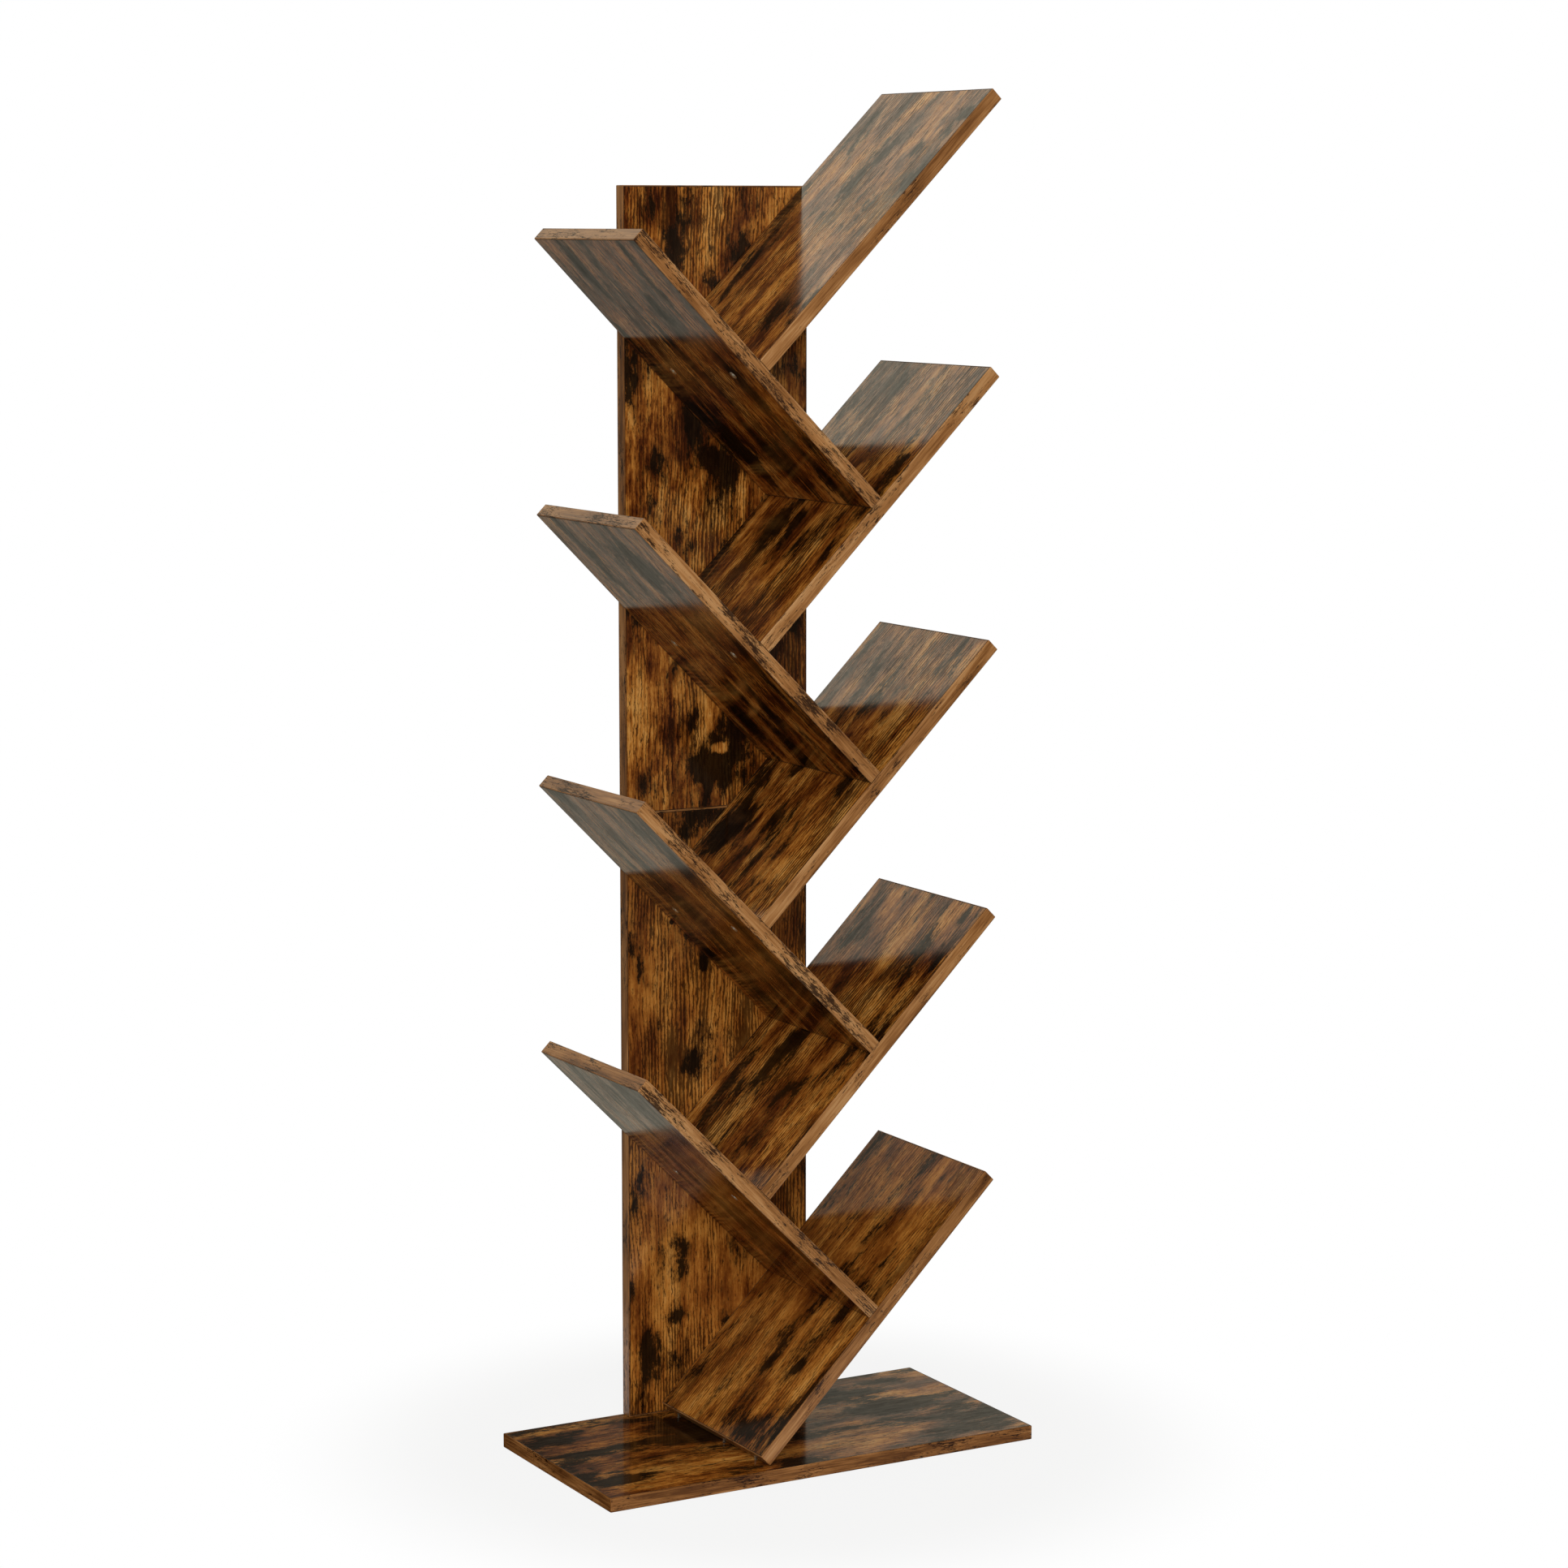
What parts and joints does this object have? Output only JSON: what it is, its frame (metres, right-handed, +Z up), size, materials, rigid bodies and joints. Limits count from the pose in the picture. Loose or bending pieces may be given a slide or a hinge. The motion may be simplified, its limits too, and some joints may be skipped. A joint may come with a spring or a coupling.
{
  "type": "tree shaped bookshelf",
  "caption": "Free-standing tree shaped bookshelf: slanted shelves branch left and right in front of a narrow upright back panel on a flat base.",
  "frame": {"origin": "centre of the base board's underside, on the floor", "axes": "+Z up, +Y towards the back panel's wall side, +X to the right seen from the front"},
  "size_m": [0.5, 0.25, 1.4109],
  "materials": {
    "rustic_laminate": "satin printed wood-grain laminate on particle board, with matching edge band",
    "zinc_plated_steel": "bright zinc plate",
    "beech_dowel": "bare turned beech"
  },
  "bodies": {
    "root": {"base_board": "rustic_laminate", "lower_back_panel": "rustic_laminate", "upper_back_panel": "rustic_laminate", "right_shelf_1": "rustic_laminate", "left_shelf_1": "rustic_laminate", "right_shelf_2": "rustic_laminate", "left_shelf_2": "rustic_laminate", "right_shelf_3": "rustic_laminate", "left_shelf_3": "rustic_laminate", "right_shelf_4": "rustic_laminate", "left_shelf_4": "rustic_laminate", "right_shelf_5": "rustic_laminate", "right_shelf_1_panel_screw_upper": "zinc_plated_steel", "right_shelf_1_panel_screw_lower": "zinc_plated_steel", "left_shelf_1_joint_screw_rear": "zinc_plated_steel", "left_shelf_1_joint_screw_front": "zinc_plated_steel", "left_shelf_1_panel_screw_upper": "zinc_plated_steel", "left_shelf_1_panel_screw_lower": "zinc_plated_steel", "right_shelf_2_joint_screw_rear": "zinc_plated_steel", "right_shelf_2_joint_screw_front": "zinc_plated_steel", "right_shelf_2_panel_screw_upper": "zinc_plated_steel", "right_shelf_2_panel_screw_lower": "zinc_plated_steel", "left_shelf_2_joint_screw_rear": "zinc_plated_steel", "left_shelf_2_joint_screw_front": "zinc_plated_steel", "left_shelf_2_panel_screw_upper": "zinc_plated_steel", "left_shelf_2_panel_screw_lower": "zinc_plated_steel", "right_shelf_3_joint_screw_rear": "zinc_plated_steel", "right_shelf_3_joint_screw_front": "zinc_plated_steel", "right_shelf_3_panel_screw_upper": "zinc_plated_steel", "right_shelf_3_panel_screw_lower": "zinc_plated_steel", "left_shelf_3_joint_screw_rear": "zinc_plated_steel", "left_shelf_3_joint_screw_front": "zinc_plated_steel", "left_shelf_3_panel_screw_upper": "zinc_plated_steel", "left_shelf_3_panel_screw_lower": "zinc_plated_steel", "right_shelf_4_joint_screw_rear": "zinc_plated_steel", "right_shelf_4_joint_screw_front": "zinc_plated_steel", "right_shelf_4_panel_screw_upper": "zinc_plated_steel", "right_shelf_4_panel_screw_lower": "zinc_plated_steel", "left_shelf_4_joint_screw_rear": "zinc_plated_steel", "left_shelf_4_joint_screw_front": "zinc_plated_steel", "left_shelf_4_panel_screw_upper": "zinc_plated_steel", "left_shelf_4_panel_screw_lower": "zinc_plated_steel", "right_shelf_5_joint_screw_rear": "zinc_plated_steel", "right_shelf_5_joint_screw_front": "zinc_plated_steel", "right_shelf_5_panel_screw_upper": "zinc_plated_steel", "right_shelf_5_panel_screw_lower": "zinc_plated_steel", "base_panel_screw_left": "zinc_plated_steel", "base_panel_screw_middle": "zinc_plated_steel", "base_panel_screw_right": "zinc_plated_steel", "foot_screw_rear": "zinc_plated_steel", "foot_screw_middle": "zinc_plated_steel", "foot_screw_front": "zinc_plated_steel", "panel_dowel_left": "beech_dowel", "panel_dowel_middle": "beech_dowel", "panel_dowel_right": "beech_dowel"}
  },
  "joints": []
}
